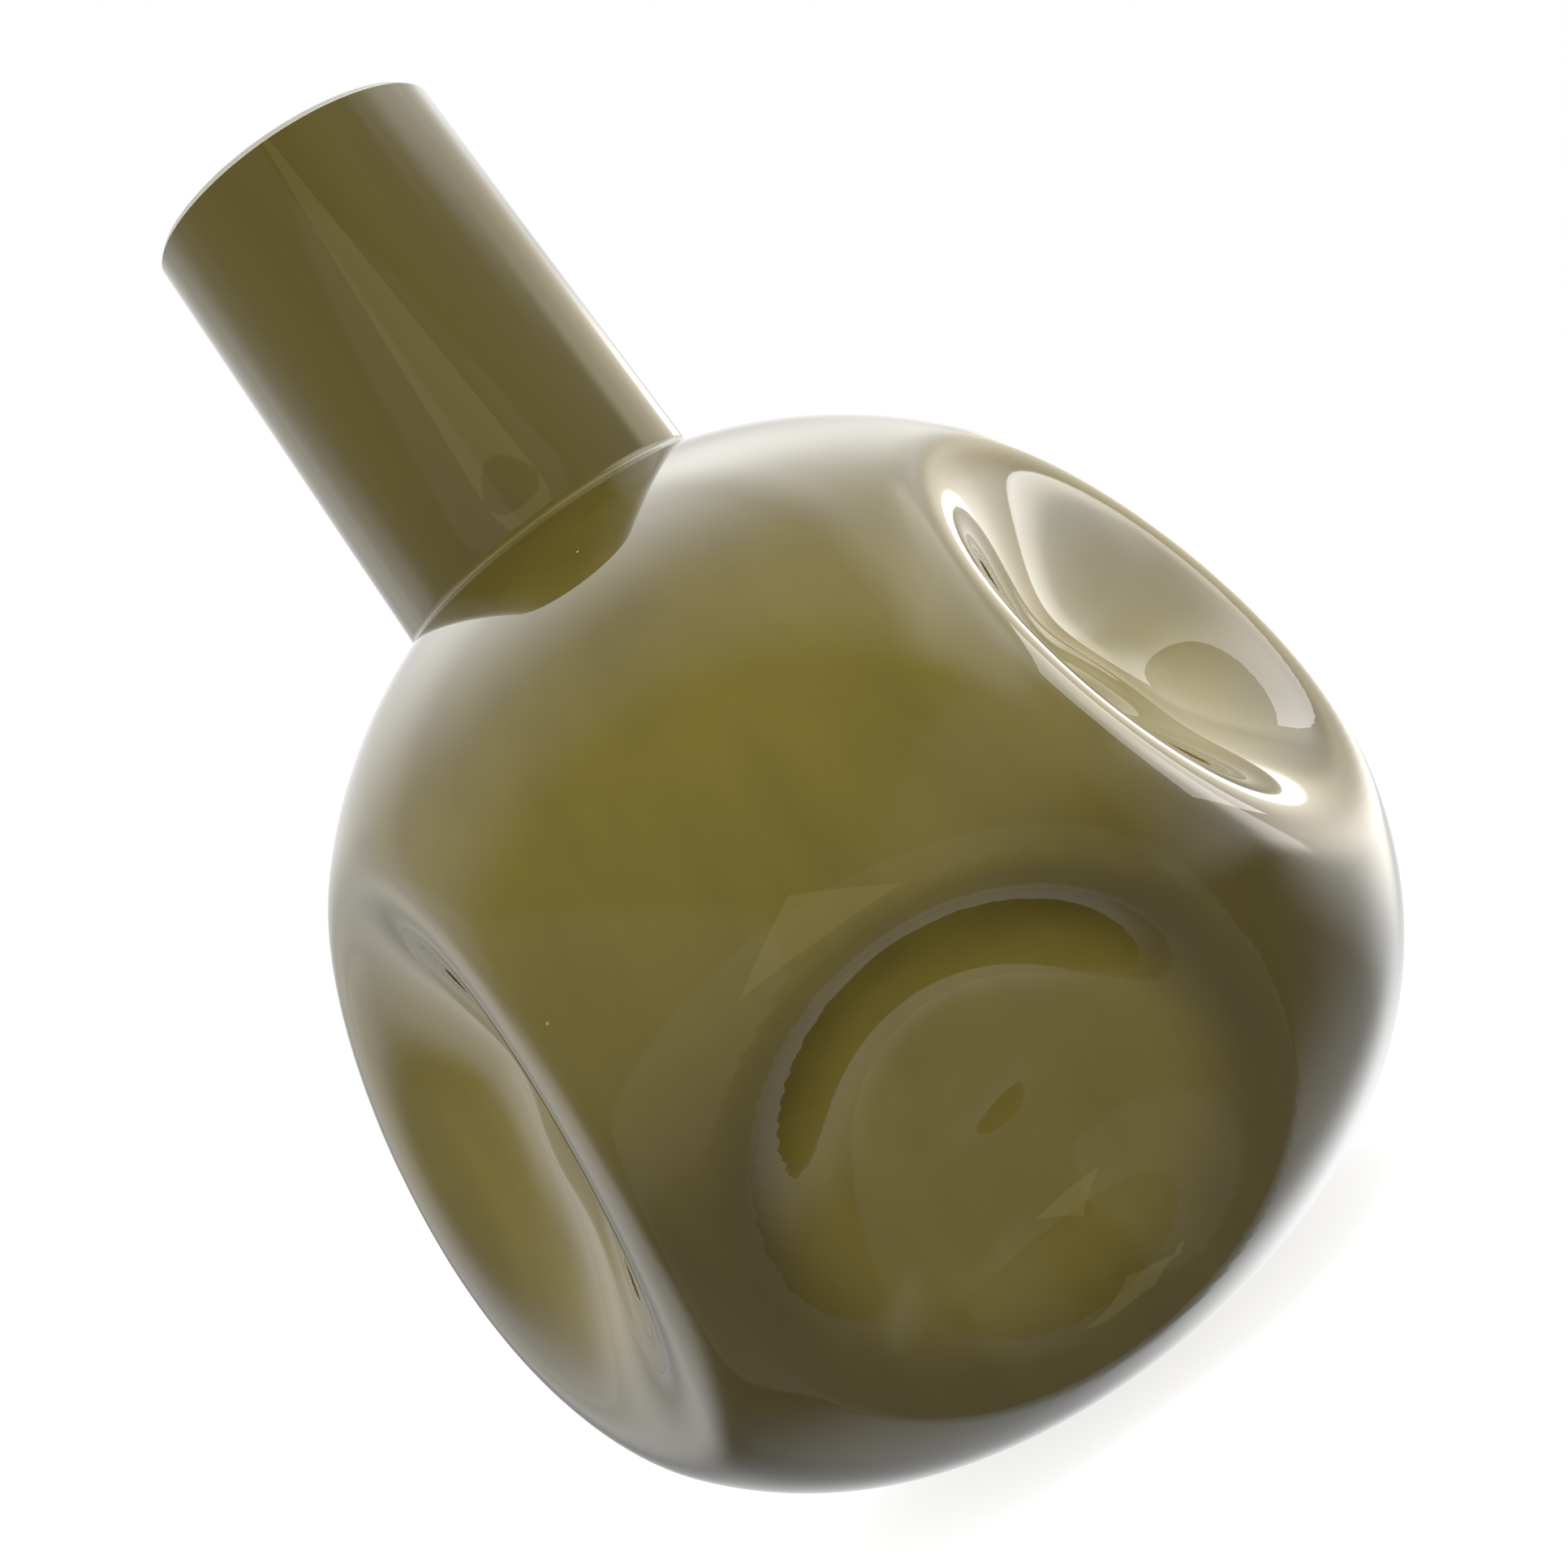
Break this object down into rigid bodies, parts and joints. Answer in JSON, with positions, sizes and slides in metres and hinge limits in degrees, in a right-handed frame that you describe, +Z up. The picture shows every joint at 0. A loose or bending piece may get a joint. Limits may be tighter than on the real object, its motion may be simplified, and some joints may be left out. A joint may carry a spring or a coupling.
{
  "type": "vase",
  "caption": "Hand-blown glass vase: a round bulb with deep oval thumb dimples around its girth and a straight tubular neck with a ground rim.",
  "frame": {"origin": "centre of the flat base, on the surface the vase stands on", "axes": "+Z up along the bulb's axis to the rim, -Y is the front with the lower dimple seen in the picture, +X is the right-hand side as seen from the front"},
  "size_m": [0.1617, 0.1616, 0.22],
  "materials": {
    "olive_glass": "glossy opaque olive-brown glass, the same on bulb and neck; ground matte on the bevel of the rim",
    "pale_glass": "smooth pale opal glass inside"
  },
  "bodies": {
    "root": {"bulb_casing": "olive_glass", "neck_casing": "olive_glass", "bulb_lining": "pale_glass", "neck_lining": "pale_glass"}
  },
  "joints": []
}
